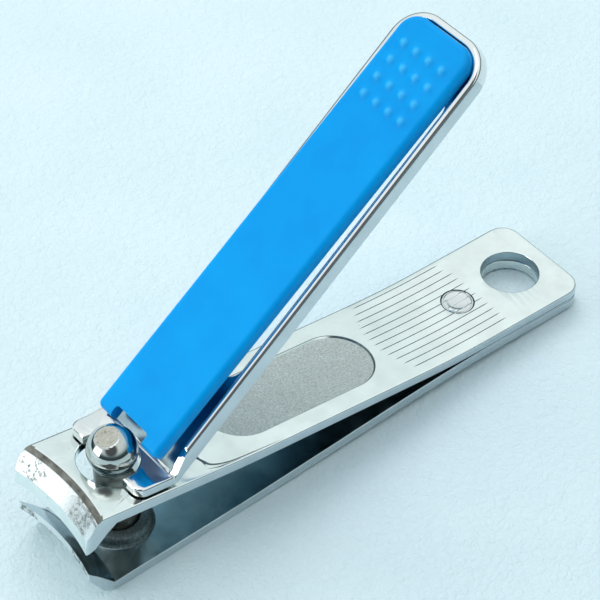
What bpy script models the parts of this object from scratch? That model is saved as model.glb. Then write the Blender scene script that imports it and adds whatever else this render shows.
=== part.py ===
"""Lever nail clipper: two bowed steel jaws, the pin between them and a folding lever with a soft cover.

Frame: +X runs from the cutting edges to the tail, +Y is across and +Z is up. The origin is on the
surface the clipper lies on, under the middle of its length. Metres.
"""
import math

import bmesh
import bpy
from mathutils import Matrix, Vector

MM = 0.001
PARTS_NAME = "lever_nail_clipper"

# Jaws: two leaves of sheet steel. A leaf is drawn flat, as x, y and a height over its upper face,
# and is then bent along its bow, which gives the height of that upper face at each x.
TAIL_X = 31.0 * MM
LOWER_TIP_X = -31.0 * MM
UPPER_TIP_X = -30.25 * MM
JAW_WIDTH = 12.0 * MM
UPPER_FRONT_WIDTH = 11.6 * MM
LOWER_FRONT_WIDTH = 11.3 * MM
JAW_SHEET = 1.15 * MM
JAW_GAP = 0.10 * MM
TAIL_CORNER = 2.0 * MM
STRAIGHT_X = -16.0 * MM
UPPER_SLOPE = -0.208
UPPER_BOW = [(31.0, 2.40, -0.042), (19.0, 2.97, -0.050), (9.0, 4.00, -0.155),
             (-10.0, 6.98, -0.158), (-16.0, 8.13, UPPER_SLOPE)]
LOWER_BOW = [(31.0, 1.15, -0.042), (19.0, 1.72, -0.050), (9.0, 1.76, 0.015),
             (-2.0, 1.46, 0.028), (-16.0, 1.15, 0.0)]
SLICE = 3.0 * MM

# Blades: turned about an upright axis in front of the tips, so that the edges are hollow in plan.
EDGE_RADIUS = 22.0 * MM
BLADE_ACROSS = 12
UPPER_BLADE = [(23.35, 0.0), (22.65, -0.42), (21.85, -2.30), (22.0, -3.90), (22.9, -3.45),
               (23.95, -2.05), (24.9, -1.15)]
LOWER_BLADE = [(24.65, 0.0), (23.70, 1.25), (22.90, 2.25), (22.0, 3.25), (22.0, 2.30),
               (22.70, 1.05), (23.45, -0.30), (24.60, -1.15)]

# Pin, its boss on the lower leaf and its hole in the upper one. The lever's fork sits in a notch on
# the tail side of the pin, under its ball, and tips about LEVER_PIVOT.
PIN_X = -23.6 * MM
PIN_RADIUS = 1.95 * MM
LEVER_PIVOT = (-24.2 * MM, 0.0, 10.2 * MM)
PIN_HOLE_X = -23.2 * MM
PIN_HOLE = 3.75 * MM
PIN_PLAY = 0.10 * MM
BALL_RADIUS = 2.44 * MM
BALL_Z = 11.35 * MM
BALL_TOP_Z = 13.35 * MM
BALL_TOP_TILT = math.radians(-12.0)
BASE_RADIUS = 2.6 * MM
BASE_BOTTOM_Z = 0.10 * MM
BASE_TOP_Z = 0.95 * MM
BOSS_RADIUS = 3.15 * MM
PIN_NOTCH_X = -23.1 * MM
PIN_NOTCH_Z = (7.5 * MM, 10.6 * MM)
BOSS_HEIGHT = 1.1 * MM
POCKET_ROOF = -0.05 * MM

# Tail: rivet, key-ring hole
RIVET_X = 19.0 * MM
RIVET_RADIUS = 1.65 * MM
RIVET_PLAY = 0.10 * MM
TAIL_HOLE_X = 26.2 * MM
TAIL_HOLE = 3.0 * MM

# Thumb recess in the upper leaf
RECESS_FRONT_X = -13.0 * MM
RECESS_BACK_X = 6.85 * MM
RECESS_HALF = 3.9 * MM
RECESS_DEPTH = 0.15 * MM

# Lever: a pan with a raised rim. s runs along the handle and n is the height over the rim.
LEVER_SHEET = 0.95 * MM
LEVER_ANGLE = math.radians(37.5)
LEVER_ORIGIN = Vector((-19.0, 0.0, 12.64)) * MM
LEVER_HALF = 5.5 * MM
LEVER_END_S = 44.95 * MM
LEVER_CORNER = 3.5 * MM
RIM_HEIGHT = 1.8 * MM
RIM_WIDTH = 0.7 * MM
SLOT_S = (7.2 * MM, 39.6 * MM)
SLOT_HALF = 4.15 * MM
SLOT_CORNER = 1.8 * MM
FOOT_GAP = 0.20 * MM
FOOT_FRONT_X = -24.75 * MM
FORK_CENTRE_X = -24.7 * MM
FORK_RADIUS = 3.1 * MM

# Cover: a moulded pad, held by a stake through the pan's floor at the finger end
COVER_HALF = 4.45 * MM
COVER_THICK = 1.35 * MM
COVER_FRONT_S = -2.3 * MM
COVER_END_S = 43.85 * MM
COVER_TOP = (2.20 * MM, 0.95 * MM)
COVER_CORNER = 2.0 * MM
NOTCH_HALF = 2.35 * MM
NOTCH_DEPTH = 1.3 * MM
BUMP_S = (35.35 * MM, 1.93 * MM)
BUMP_Y = 1.7 * MM
BUMP_RADIUS = 0.55 * MM
BUMP_HEIGHT = 0.25 * MM
STAKE_S = 42.0 * MM
STAKE_RADIUS = 0.75 * MM
STAKE_PLAY = 0.10 * MM
SEAT_S = (40.4 * MM, 43.4 * MM)
SEAT_HALF = 3.2 * MM

FAR = 20.0 * MM


def clear_scene():
    for thing in list(bpy.data.objects):
        bpy.data.objects.remove(thing, do_unlink=True)


def make_collection(name):
    collection = bpy.data.collections.new(name)
    bpy.context.scene.collection.children.link(collection)
    return collection


def material(name, color, metallic, roughness):
    mat = bpy.data.materials.new(name)
    mat.use_nodes = True
    shader = mat.node_tree.nodes["Principled BSDF"]
    shader.inputs["Base Color"].default_value = (*color, 1.0)
    shader.inputs["Metallic"].default_value = metallic
    shader.inputs["Roughness"].default_value = roughness
    return mat


def add_object(name, bm, collection):
    mesh = bpy.data.meshes.new(name)
    bm.to_mesh(mesh)
    bm.free()
    obj = bpy.data.objects.new(name, mesh)
    collection.objects.link(obj)
    return obj


def finish_part(obj, mat):
    """Give a part its material and smooth shading between its sharp edges."""
    obj.data.materials.clear()
    obj.data.materials.append(mat)
    obj.data.shade_smooth()
    obj.data.set_sharp_from_angle(angle=math.radians(35.0))


def apply_modifiers(obj):
    """Replace the object's mesh with its evaluated one."""
    graph = bpy.context.evaluated_depsgraph_get()
    mesh = bpy.data.meshes.new_from_object(obj.evaluated_get(graph))
    obj.modifiers.clear()
    obj.data = mesh


def combine(obj, other, operation):
    """Boolean obj with a cutter or a lump, which stays in the cutters as a wire."""
    other.hide_render = True
    other.display_type = "WIRE"
    mod = obj.modifiers.new(operation.lower(), "BOOLEAN")
    mod.operation = operation
    mod.solver = "EXACT"
    mod.object = other
    bpy.context.view_layer.update()
    apply_modifiers(obj)


def slab(name, outline, half_depth, matrix, collection):
    """A flat outline of straight points, filled and extruded both ways along its local Z."""
    curve = bpy.data.curves.new(name, "CURVE")
    curve.dimensions = "2D"
    curve.fill_mode = "BOTH"
    curve.extrude = half_depth
    spline = curve.splines.new("POLY")
    spline.points.add(len(outline) - 1)
    for point, (x, y) in zip(spline.points, outline):
        point.co = (x, y, 0.0, 1.0)
    spline.use_cyclic_u = True
    guide = bpy.data.objects.new(name, curve)
    collection.objects.link(guide)
    guide.matrix_world = matrix
    bpy.context.view_layer.update()
    graph = bpy.context.evaluated_depsgraph_get()
    mesh = bpy.data.meshes.new_from_object(guide.evaluated_get(graph))
    bm = bmesh.new()
    bm.from_mesh(mesh)
    bmesh.ops.remove_doubles(bm, verts=bm.verts, dist=1e-7)
    bmesh.ops.transform(bm, matrix=matrix, verts=bm.verts)
    bmesh.ops.recalc_face_normals(bm, faces=bm.faces)
    bpy.data.objects.remove(guide, do_unlink=True)
    return add_object(name, bm, collection)


def turned(name, profile, steps, matrix, collection):
    """A closed solid turned about Z from (radius, z) points, top to bottom."""
    bm = bmesh.new()
    verts = [bm.verts.new((r, 0.0, z)) for r, z in profile]
    for a, b in zip(verts, verts[1:]):
        bm.edges.new((a, b))
    obj = add_object(name, bm, collection)
    screw = obj.modifiers.new("turn", "SCREW")
    screw.angle = 2.0 * math.pi
    screw.steps = steps
    screw.render_steps = steps
    screw.use_merge_vertices = True
    screw.merge_threshold = 1e-6
    bpy.context.view_layer.update()
    apply_modifiers(obj)
    obj.data.transform(matrix)
    return obj


def arc(cx, cy, radius, start, end, steps):
    """Points of an arc, angles in degrees, both ends included."""
    points = []
    for i in range(steps + 1):
        a = math.radians(start + (end - start) * i / steps)
        points.append((cx + radius * math.cos(a), cy + radius * math.sin(a)))
    return points


def rounded_bar(x0, x1, half, r0, r1, steps=8):
    """Outline of a bar from x0 to x1, with corner radius r0 at x0 and r1 at x1."""
    points = arc(x1 - r1, half - r1, r1, 90, 0, steps) + arc(x1 - r1, r1 - half, r1, 0, -90, steps)
    points += arc(x0 + r0, r0 - half, r0, -90, -180, steps)
    points += arc(x0 + r0, half - r0, r0, 180, 90, steps)
    return points


def bow_at(bow, x):
    """Height and slope of a leaf's upper face at x, from (x, height, slope) stations in mm."""
    x = x / MM
    if x <= bow[-1][0]:
        x0, z0, m0 = bow[-1]
        return (z0 + m0 * (x - x0)) * MM, m0
    for (xa, za, ma), (xb, zb, mb) in zip(bow, bow[1:]):
        if x >= xb:
            break
    h = xb - xa
    t = (x - xa) / h
    z = ((2 * t**3 - 3 * t**2 + 1) * za + (t**3 - 2 * t**2 + t) * h * ma
         + (3 * t**2 - 2 * t**3) * zb + (t**3 - t**2) * h * mb)
    slope = ((6 * t**2 - 6 * t) * (za - zb) / h + (3 * t**2 - 4 * t + 1) * ma
             + (3 * t**2 - 2 * t) * mb)
    return z * MM, slope


def bend(obj, bow):
    """Slice a flat leaf crosswise and bend it along its bow."""
    bm = bmesh.new()
    bm.from_mesh(obj.data)
    x = STRAIGHT_X
    while x < TAIL_X:
        geom = list(bm.verts) + list(bm.edges) + list(bm.faces)
        bmesh.ops.bisect_plane(bm, geom=geom, plane_co=(x, 0, 0), plane_no=(1, 0, 0), dist=1e-7)
        x += SLICE
    for vert in bm.verts:
        z, slope = bow_at(bow, vert.co.x)
        normal = Vector((-slope, 0.0, 1.0)).normalized()
        height = vert.co.z
        vert.co = Vector((vert.co.x, vert.co.y, z)) + normal * height
    bmesh.ops.triangulate(bm, faces=bm.faces)
    bm.to_mesh(obj.data)
    bm.free()


def upright(x, y=0.0, z=0.0):
    return Matrix.Translation((x, y, z))


# Local X along world X and local Z along world -Y, so that a slab's outline is a side view
SIDE = Matrix(((1, 0, 0, 0), (0, 0, -1, 0), (0, 1, 0, 0), (0, 0, 0, 1)))


def flat_leaf(name, blade, tip_x, front_width, parts, cutters):
    """A leaf as a flat, slightly tapered blank with its blade, round tail corners and tail holes."""
    axis_x = tip_x - math.sqrt(EDGE_RADIUS**2 - (JAW_WIDTH / 2)**2)
    side = [(axis_x + r * MM, n * MM) for r, n in blade]
    tail = TAIL_X + MM
    side += [(tail, -JAW_SHEET), (tail, 0.0)]
    leaf = slab(name, side, JAW_WIDTH / 2 + 0.3 * MM, SIDE, parts)
    bm = bmesh.new()
    bm.from_mesh(leaf.data)
    for i in range(1, BLADE_ACROSS):
        y = JAW_WIDTH * (i / BLADE_ACROSS - 0.5)
        geom = list(bm.verts) + list(bm.edges) + list(bm.faces)
        bmesh.ops.bisect_plane(bm, geom=geom, plane_co=(0, y, 0), plane_no=(0, 1, 0), dist=1e-7)
    for vert in bm.verts:
        radius = vert.co.x - axis_x
        if radius < 25.5 * MM:
            vert.co.x = axis_x + math.sqrt(radius**2 - vert.co.y**2)
    bm.to_mesh(leaf.data)
    bm.free()
    plan = rounded_bar(tip_x - 5 * MM, TAIL_X, JAW_WIDTH / 2, 0.5 * MM, TAIL_CORNER, 6)
    taper = (1 - front_width / JAW_WIDTH) / (TAIL_X - tip_x)
    plan = [(x, y * (1 - taper * (TAIL_X - x))) for x, y in plan]
    combine(leaf, slab(name + "_plan", plan, FAR, Matrix.Identity(4), cutters), "INTERSECT")
    for x, radius, tag in ((TAIL_HOLE_X, TAIL_HOLE, "_tail_hole"),
                           (RIVET_X, RIVET_RADIUS + RIVET_PLAY, "_rivet_hole")):
        hole = turned(name + tag, [(0, FAR), (radius, FAR), (radius, -FAR), (0, -FAR)], 32,
                      upright(x), cutters)
        combine(leaf, hole, "DIFFERENCE")
    return leaf


def make_upper_jaw(parts, cutters, mat):
    leaf = flat_leaf("upper_jaw", UPPER_BLADE, UPPER_TIP_X, UPPER_FRONT_WIDTH, parts, cutters)
    hole = turned("upper_pin_hole", [(0, FAR), (PIN_HOLE, FAR), (PIN_HOLE, -FAR), (0, -FAR)], 32,
                  upright(PIN_HOLE_X), cutters)
    combine(leaf, hole, "DIFFERENCE")
    outline = rounded_bar(RECESS_FRONT_X, RECESS_BACK_X, RECESS_HALF, RECESS_HALF, RECESS_HALF, 8)
    recess = slab("thumb_recess", outline, 2 * MM, upright(0, 0, 2 * MM - RECESS_DEPTH), cutters)
    combine(leaf, recess, "DIFFERENCE")
    bend(leaf, UPPER_BOW)
    finish_part(leaf, mat)
    return leaf


def make_lower_jaw(parts, cutters, mat):
    leaf = flat_leaf("lower_jaw", LOWER_BLADE, LOWER_TIP_X, LOWER_FRONT_WIDTH, parts, cutters)
    profile = [(0, BOSS_HEIGHT), (BOSS_RADIUS, BOSS_HEIGHT), (BOSS_RADIUS, -0.6 * MM),
               (0, -0.6 * MM)]
    combine(leaf, turned("pin_boss", profile, 40, upright(PIN_X), cutters), "UNION")
    pocket = [(0, POCKET_ROOF), (BASE_RADIUS + PIN_PLAY, POCKET_ROOF),
              (BASE_RADIUS + PIN_PLAY, -FAR), (0, -FAR)]
    combine(leaf, turned("base_pocket", pocket, 32, upright(PIN_X), cutters), "DIFFERENCE")
    bore = PIN_RADIUS + PIN_PLAY
    hole = [(0, FAR), (bore, FAR), (bore, -FAR), (0, -FAR)]
    combine(leaf, turned("lower_pin_hole", hole, 32, upright(PIN_X), cutters), "DIFFERENCE")
    bend(leaf, LOWER_BOW)
    finish_part(leaf, mat)
    return leaf


def make_rivet(parts, mat):
    z, slope = bow_at(UPPER_BOW, RIVET_X)
    length = 2 * JAW_SHEET + JAW_GAP
    edge = 0.1 * MM
    profile = [(0, 0), (RIVET_RADIUS - edge, 0), (RIVET_RADIUS, -edge),
               (RIVET_RADIUS, edge - length), (RIVET_RADIUS - edge, -length), (0, -length)]
    tilt = Matrix.Rotation(-math.atan(slope), 4, "Y")
    rivet = turned("tail_rivet", profile, 32, Matrix.Identity(4), parts)
    rivet.matrix_world = Matrix.Translation((RIVET_X, 0, z)) @ tilt
    finish_part(rivet, mat)
    return rivet


def make_pin(parts, cutters, mat):
    low = math.degrees(math.asin(PIN_RADIUS / BALL_RADIUS))
    ball = arc(0, BALL_Z, BALL_RADIUS, 90, low - 90, 16)
    profile = ball + [(PIN_RADIUS, BASE_TOP_Z), (BASE_RADIUS, BASE_TOP_Z),
                      (BASE_RADIUS, BASE_BOTTOM_Z), (0, BASE_BOTTOM_Z)]
    profile[0] = (0.0, BALL_Z + BALL_RADIUS)
    pin = turned("pin", profile, 32, Matrix.Identity(4), parts)
    box = [(-FAR, 0), (FAR, 0), (FAR, FAR), (-FAR, FAR)]
    place = Matrix.Translation((0, 0, BALL_TOP_Z)) @ Matrix.Rotation(BALL_TOP_TILT, 4, "Y") @ SIDE
    combine(pin, slab("pin_top_flat", box, FAR, place, cutters), "DIFFERENCE")
    low, high = PIN_NOTCH_Z
    front = PIN_NOTCH_X - PIN_X
    box = [(front, low), (FAR, low), (FAR, high), (front, high)]
    combine(pin, slab("pin_notch", box, FAR, SIDE, cutters), "DIFFERENCE")
    pin.location = (PIN_X, 0, 0)
    finish_part(pin, mat)
    return pin


def handle_frame(s=0.0, n=0.0):
    """Frame on the lever: local X along the handle, local Z out of the pan."""
    place = Matrix.Translation(LEVER_ORIGIN) @ Matrix.Rotation(-LEVER_ANGLE, 4, "Y")
    return place @ Matrix.Translation((s, 0, n))


def handle_point(s, n):
    p = handle_frame() @ Vector((s, 0, n))
    return p.x, p.z


def crossing(x0, z0, m0, x1, z1, m1):
    """Where two lines, each through a point with a slope, cross."""
    x = (z1 - z0 + m0 * x0 - m1 * x1) / (m0 - m1)
    return x, z0 + m0 * (x - x0)


def lever_heel(height):
    """Corner between the foot's plane, at a height over the jaw, and the matching handle plane."""
    xj, zj, mj = UPPER_BOW[-1]
    xh, zh = handle_point(0.0, height - RIM_HEIGHT)
    rise = (FOOT_GAP + height) / math.cos(math.atan(mj))
    return crossing(xj * MM, zj * MM + rise, mj, xh, zh, math.tan(LEVER_ANGLE))


def foot_point(x, height):
    xj, zj, mj = UPPER_BOW[-1]
    rise = (FOOT_GAP + height) / math.cos(math.atan(mj))
    return x, zj * MM + rise + mj * (x - xj * MM)


def make_lever(parts, cutters, mat):
    end = LEVER_END_S
    side = [foot_point(FOOT_FRONT_X, 0), lever_heel(0), handle_point(end, -RIM_HEIGHT),
            handle_point(end, 0), handle_point(0.2 * MM, 0), lever_heel(LEVER_SHEET),
            foot_point(FOOT_FRONT_X, LEVER_SHEET)]
    lever = slab("lever", side, LEVER_HALF + MM, SIDE, parts)
    plan = rounded_bar(-9 * MM, end, LEVER_HALF, 0.5 * MM, LEVER_CORNER, 8)
    combine(lever, slab("lever_plan", plan, FAR, handle_frame(), cutters), "INTERSECT")
    inner = LEVER_HALF - RIM_WIDTH
    well = rounded_bar(-9 * MM, end - RIM_WIDTH, inner, 0.5 * MM, LEVER_CORNER - RIM_WIDTH, 8)
    floor = LEVER_SHEET - RIM_HEIGHT
    deep = slab("lever_well", well, 2 * MM, handle_frame(0, 2 * MM + floor), cutters)
    xf, zf = foot_point(FOOT_FRONT_X - MM, LEVER_SHEET)
    xh, zh = lever_heel(LEVER_SHEET)
    over = [(xf, zf), (xh, zh), handle_point(end + MM, floor), handle_point(end + MM, 9 * MM),
            (xf, zf + 9 * MM)]
    combine(deep, slab("well_side", over, FAR, SIDE, cutters), "INTERSECT")
    combine(lever, deep, "DIFFERENCE")
    slot = rounded_bar(*SLOT_S, SLOT_HALF, SLOT_CORNER, SLOT_CORNER, 6)
    combine(lever, slab("lever_slot", slot, FAR, handle_frame(), cutters), "DIFFERENCE")
    tilt = Matrix.Rotation(-math.atan(UPPER_SLOPE), 4, "Y")
    place = Matrix.Translation((FORK_CENTRE_X, 0, BALL_Z - BALL_RADIUS)) @ tilt
    fork = rounded_bar(-9 * MM, FORK_RADIUS, FORK_RADIUS, 0.5 * MM, FORK_RADIUS * 0.999, 10)
    combine(lever, slab("lever_fork", fork, 3 * MM, place, cutters), "DIFFERENCE")
    radius = STAKE_RADIUS + STAKE_PLAY
    hole = [(0, FAR), (radius, FAR), (radius, -FAR), (0, -FAR)]
    combine(lever, turned("stake_hole", hole, 24, handle_frame(STAKE_S), cutters), "DIFFERENCE")
    finish_part(lever, mat)
    return lever


def make_cover(parts, cutters, mat):
    front, end = COVER_FRONT_S, COVER_END_S
    top0, top1 = COVER_TOP
    side = [(front, top0), (front, top0 - COVER_THICK), (end, top1 - COVER_THICK), (end, top1)]
    cover = slab("lever_cover", side, COVER_HALF + MM, SIDE, parts)
    plan = rounded_bar(front - MM, end, COVER_HALF, 0.3 * MM, COVER_CORNER, 8)
    combine(cover, slab("cover_plan", plan, FAR, Matrix.Identity(4), cutters), "INTERSECT")
    notch = rounded_bar(front - 3 * MM, front + NOTCH_DEPTH, NOTCH_HALF, 0.3 * MM, 0.3 * MM, 3)
    combine(cover, slab("cover_notch", notch, FAR, Matrix.Identity(4), cutters), "DIFFERENCE")
    floor = LEVER_SHEET - RIM_HEIGHT
    slope = (top1 - top0) / (end - front)
    middle = sum(SEAT_S) / 2
    under = top0 + slope * (middle - front) - COVER_THICK
    half = (under - floor) / 2 + 0.1 * MM
    seat = rounded_bar(*SEAT_S, SEAT_HALF, 0.6 * MM, 0.6 * MM, 4)
    lump = slab("cover_seat", seat, half, upright(0, 0, floor + 0.1 * MM + half), cutters)
    combine(cover, lump, "UNION")
    head = 0.35 * MM
    low = -RIM_HEIGHT - STAKE_PLAY
    stake = [(0, floor + 0.5 * MM), (STAKE_RADIUS, floor + 0.5 * MM), (STAKE_RADIUS, low),
             (STAKE_RADIUS + 0.45 * MM, low), (STAKE_RADIUS + 0.3 * MM, low - head),
             (0, low - head)]
    combine(cover, turned("cover_stake", stake, 24, upright(STAKE_S), cutters), "UNION")
    bumps = bmesh.new()
    ball_r = (BUMP_RADIUS**2 + BUMP_HEIGHT**2) / (2 * BUMP_HEIGHT)
    for row in range(4):
        s = BUMP_S[0] + BUMP_S[1] * row
        centre = top0 + slope * (s - front) + BUMP_HEIGHT - ball_r
        for column in range(4):
            place = upright(s, BUMP_Y * (column - 1.5), centre)
            bmesh.ops.create_icosphere(bumps, subdivisions=3, radius=ball_r, matrix=place)
    combine(cover, add_object("cover_bumps", bumps, cutters), "UNION")
    cover.matrix_world = handle_frame()
    finish_part(cover, mat)
    return cover


def main():
    clear_scene()
    parts = make_collection(PARTS_NAME)
    cutters = make_collection("cutters")
    chrome = material("chrome_steel", (0.78, 0.80, 0.80), 1.0, 0.08)
    rivet_steel = material("rivet_steel", (0.70, 0.73, 0.73), 1.0, 0.2)
    pin_steel = material("pin_chrome", (0.72, 0.74, 0.74), 1.0, 0.12)
    blue = material("blue_plastic", (0.0, 0.35, 0.87), 0.0, 0.35)
    lever_chrome = material("lever_chrome", (0.80, 0.82, 0.82), 1.0, 0.06)
    make_lower_jaw(parts, cutters, chrome)
    make_upper_jaw(parts, cutters, chrome)
    make_rivet(parts, rivet_steel)
    make_pin(parts, cutters, pin_steel)
    lever = make_lever(parts, cutters, lever_chrome)
    cover = make_cover(parts, cutters, blue)
    pivot = bpy.data.objects.new("lever_pivot", None)
    parts.objects.link(pivot)
    pivot.location = LEVER_PIVOT
    bpy.context.view_layer.update()
    for thing in (lever, cover):
        world = thing.matrix_world.copy()
        thing.parent = pivot
        thing.matrix_parent_inverse = pivot.matrix_world.inverted()
        thing.matrix_world = world


main()
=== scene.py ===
"""Looks of the lever nail clipper: chromed jaws, ball-headed pin and a lever with a blue cover.

Each piece is drawn again over its CAD node with its rounded edges and small features. The jaws are
drawn flat, as x, y and a height n over the leaf's upper face, and then bent along the CAD's bow.
"""
import math

import bmesh
import bpy
from mathutils import Matrix, Vector


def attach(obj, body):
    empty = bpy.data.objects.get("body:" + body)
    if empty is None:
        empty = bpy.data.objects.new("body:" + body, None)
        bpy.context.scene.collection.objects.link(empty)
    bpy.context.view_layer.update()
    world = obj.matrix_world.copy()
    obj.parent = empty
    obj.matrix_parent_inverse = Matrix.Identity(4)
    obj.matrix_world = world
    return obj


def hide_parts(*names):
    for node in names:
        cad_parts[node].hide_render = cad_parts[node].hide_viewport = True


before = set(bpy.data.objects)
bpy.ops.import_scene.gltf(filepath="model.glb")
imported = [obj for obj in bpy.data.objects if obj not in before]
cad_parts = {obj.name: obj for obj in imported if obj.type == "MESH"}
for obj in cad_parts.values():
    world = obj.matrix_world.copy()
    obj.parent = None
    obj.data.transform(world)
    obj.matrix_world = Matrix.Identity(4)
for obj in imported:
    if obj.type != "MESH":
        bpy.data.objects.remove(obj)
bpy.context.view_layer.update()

MM = 0.001
FAR = 20.0 * MM
IDENTITY = Matrix.Identity(4)
SIDE = Matrix(((1, 0, 0, 0), (0, 0, -1, 0), (0, 1, 0, 0), (0, 0, 0, 1)))

# The jaws' size, as in the CAD. The bows and blades are in mm: a bow's stations are x, height and
# slope, and a blade's side view is distance from the edge's axis and height.
TAIL_X = 31.0 * MM
JAW_WIDTH = 12.0 * MM
JAW_SHEET = 1.15 * MM
TAIL_CORNER = 2.0 * MM
EDGE_RADIUS = 22.0 * MM
CURVED_RADIUS = 25.5 * MM
PIN_X = -23.6 * MM
STRAIGHT_X = -16.0 * MM
UPPER_TIP_X = -30.25 * MM
LOWER_TIP_X = -31.0 * MM
UPPER_FRONT_WIDTH = 11.6 * MM
LOWER_FRONT_WIDTH = 11.3 * MM
UPPER_SLOPE = -0.208
UPPER_BOW = [(31.0, 2.40, -0.042), (19.0, 2.97, -0.050), (9.0, 4.00, -0.155),
             (-10.0, 6.98, -0.158), (-16.0, 8.13, UPPER_SLOPE)]
LOWER_BOW = [(31.0, 1.15, -0.042), (19.0, 1.72, -0.050), (9.0, 1.76, 0.015),
             (-2.0, 1.46, 0.028), (-16.0, 1.15, 0.0)]
UPPER_BLADE = [(23.35, 0.0), (22.65, -0.42), (21.85, -2.30), (22.0, -3.90), (22.9, -3.45),
               (23.95, -2.05), (24.9, -1.15)]
LOWER_BLADE = [(24.65, 0.0), (23.70, 1.25), (22.90, 2.25), (22.0, 3.25), (22.0, 2.30),
               (22.70, 1.05), (23.45, -0.30), (24.60, -1.15)]

# Holes through the jaws, each as its place on the centre line and its radius
KEY_HOLE = (26.2 * MM, 3.0 * MM)
RIVET_HOLE = (19.0 * MM, 1.75 * MM)
PIN_HOLE = (-23.2 * MM, 3.75 * MM)

# The oval recess in the upper jaw, in mm: its wall as growth of the outline and height
RECESS_X = (-13.0, 6.85)
RECESS_HALF = 3.9
RECESS_WALL = [(-0.14, -0.17), (-0.02, -0.04), (0.03, 0.0), (0.30, 0.16)]

# The lines engraved over the tail, in mm but for their depth
LINE_COUNT = 12
LINE_PITCH = 0.905
LINE_WIDTH = 0.095
LINE_END_WIDTH = 0.03
LINE_DEPTH = 0.065 * MM

# The pin's sizes, in mm
BALL_Z = 11.35
BALL_RADIUS = 2.44
PIN_RADIUS = 1.95
TOP_CUT_Z = 13.52
TOP_CUT_TILT = math.radians(-12.0)
NOTCH_FRONT = 0.9
NOTCH_Z = (7.5, 10.5)

# The lever's size: s runs along the handle and n is the height over its rim. It is as in the CAD,
# except that the slot's corners are sharper and the cover reaches further.
LEVER_SHEET = 0.95 * MM
LEVER_ANGLE = math.radians(37.5)
LEVER_ORIGIN = Vector((-19.0, 0.0, 12.64)) * MM
LEVER_HALF = 5.5 * MM
LEVER_END_S = 44.95 * MM
LEVER_CORNER = 3.5 * MM
RIM_HEIGHT = 1.8 * MM
RIM_WIDTH = 0.7 * MM
FOOT_GAP = 0.20 * MM
FOOT_FRONT_X = -24.75 * MM
SLOT_S = (7.2 * MM, 39.6 * MM)
SLOT_HALF = 4.15 * MM
SLOT_CORNER = 1.6 * MM
FORK_CENTRE = Vector((-24.7 * MM, 0.0, 9.3 * MM))
FORK_RADIUS = 3.1 * MM
FORK_CORNER = 3.099 * MM
COVER_HALF = 4.45 * MM
COVER_THICK = 1.35 * MM
COVER_FRONT_S = -2.3 * MM
COVER_END_S = 44.10 * MM
COVER_TOP = (2.20 * MM, 0.95 * MM)
COVER_DROP = (COVER_TOP[0] - COVER_TOP[1]) / (COVER_END_S - COVER_FRONT_S)
STAKE_S = 42.0 * MM
STAKE_RADIUS = 0.75 * MM
SEAT_S = (40.4 * MM, 43.4 * MM)
SEAT_HALF = 3.2 * MM

# The finger bumps on the cover: rows along s, columns across, in mm
BUMP_COUNT = 4
BUMP_START_S = 35.35
BUMP_STEP_S = 1.93
BUMP_STEP_Y = 1.7
BUMP_HEIGHT = 0.27 * MM
BUMP_SPREAD = 0.34 * MM

# Order of the jaws' materials, for the rules that paint them
CHROME, RECESS, GROUND, GROOVE, INNER_SHADE, BEND_SHADE, SIDE_SHADE = range(7)

# The fixed direction of the room's dark patch, towards the camera's place
DARK_DIRECTION = (-0.436, -0.545, 0.716)


# ---- mesh helpers ----

def add_object(name, bm):
    mesh = bpy.data.meshes.new(name)
    bm.to_mesh(mesh)
    bm.free()
    obj = bpy.data.objects.new(name, mesh)
    bpy.context.scene.collection.objects.link(obj)
    return obj


def apply_modifiers(obj):
    bpy.context.view_layer.update()
    graph = bpy.context.evaluated_depsgraph_get()
    mesh = bpy.data.meshes.new_from_object(obj.evaluated_get(graph))
    obj.modifiers.clear()
    obj.data = mesh


def combine(obj, other, operation):
    mod = obj.modifiers.new(operation.lower(), "BOOLEAN")
    mod.operation = operation
    mod.solver = "EXACT"
    mod.object = other
    apply_modifiers(obj)
    bpy.data.objects.remove(other, do_unlink=True)


def loft(name, loops):
    """A closed solid through loops of points, all of one length, from the bottom up."""
    bm = bmesh.new()
    rings = [[bm.verts.new(p) for p in loop] for loop in loops]
    count = len(rings[0])
    bm.faces.new(list(reversed(rings[0])))
    bm.faces.new(rings[-1])
    for low, high in zip(rings, rings[1:]):
        for i in range(count):
            j = (i + 1) % count
            bm.faces.new((low[i], low[j], high[j], high[i]))
    bmesh.ops.recalc_face_normals(bm, faces=bm.faces)
    return add_object(name, bm)


def prism(name, outline, low, high, matrix=IDENTITY):
    obj = loft(name, [[(x, y, z) for x, y in outline] for z in (low, high)])
    obj.data.transform(matrix)
    return obj


def turned(name, profile, steps, matrix=IDENTITY):
    """A closed solid turned about Z from (radius, z) points, top to bottom, ending on the axis."""
    bm = bmesh.new()
    rings = []
    for r, z in profile:
        if r < 1e-9:
            rings.append([bm.verts.new((0, 0, z))])
            continue
        angles = [2 * math.pi * i / steps for i in range(steps)]
        rings.append([bm.verts.new((r * math.cos(a), r * math.sin(a), z)) for a in angles])
    for a, b in zip(rings, rings[1:]):
        for i in range(steps):
            j = (i + 1) % steps
            corners = [a[i % len(a)], b[i % len(b)], b[j % len(b)], a[j % len(a)]]
            unique = []
            for vert in corners:
                if vert not in unique:
                    unique.append(vert)
            bm.faces.new(unique)
    bmesh.ops.recalc_face_normals(bm, faces=bm.faces)
    obj = add_object(name, bm)
    obj.data.transform(matrix)
    return obj


def arc(cx, cy, radius, start, end, steps):
    points = []
    for i in range(steps + 1):
        a = math.radians(start + (end - start) * i / steps)
        points.append((cx + radius * math.cos(a), cy + radius * math.sin(a)))
    return points


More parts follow.
